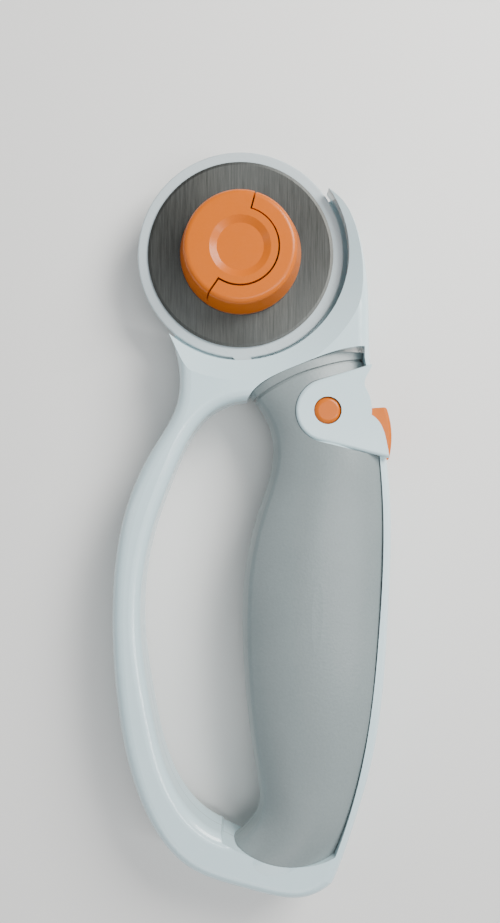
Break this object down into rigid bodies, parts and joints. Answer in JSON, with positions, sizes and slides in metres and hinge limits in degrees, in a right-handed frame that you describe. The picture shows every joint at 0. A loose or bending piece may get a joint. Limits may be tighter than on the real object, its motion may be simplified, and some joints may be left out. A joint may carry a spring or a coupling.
{
  "type": "rotary cutter",
  "caption": "Rotary cutter with a closed loop handle, soft grips, a sliding blade guard worked by a thumb lever, and a quick-release blade knob.",
  "frame": {"origin": "on the blade's axis, at the flat rest face of the boss on the back of the head", "axes": "+Z out of the blade side, +Y to the top of the head with the handle down -Y, +X to the thumb side"},
  "size_m": [0.0669, 0.1794, 0.022],
  "materials": {
    "shell": "gloss",
    "soft_grip": "satin",
    "guard": "satin",
    "blade_steel": "brushed, dark coated",
    "orange_plastic": "gloss",
    "steel": "bright"
  },
  "bodies": {
    "handle": {"front_shell": "shell", "back_shell": "shell", "front_grip": "soft_grip", "back_grip": "soft_grip", "case_screws": "steel", "spindle": "steel", "spring_washer": "steel", "blade_cap": "orange_plastic", "latch_spring": "steel", "detent_spring": "steel"},
    "guard": {"blade_guard": "guard"},
    "lever": {"thumb_lever": "orange_plastic", "drive_pin": "steel"},
    "blade": {"blade": "blade_steel"},
    "latch": {"release_latch": "orange_plastic"}
  },
  "joints": [
    {"name": "blade_spin", "type": "hinge", "parent": "handle", "child": "blade", "pos_m": [0, 0, 0.0123], "axis": [0, 0, 1], "continuous": true},
    {"name": "lever_swing", "type": "hinge", "parent": "handle", "child": "lever", "pos_m": [0.0205, -0.0382, 0.011], "axis": [0, 0, 1], "range_deg": [0, 43.1]},
    {"name": "guard_slide", "type": "slide", "parent": "handle", "child": "guard", "axis": [0.6561, -0.7547, 0], "range_m": [0, 0.00502]},
    {"name": "latch_slide", "type": "slide", "parent": "handle", "child": "latch", "axis": [-0.9063, 0.4226, 0], "range_m": [0, 0.0025], "stiffness_N_per_m": 300, "springref_m": -0.001, "deforming": ["latch_spring"]}
  ],
  "couplings": [
    {"joint": "guard_slide", "follows": "lever_swing", "m_per_rad": 0.00664}
  ]
}
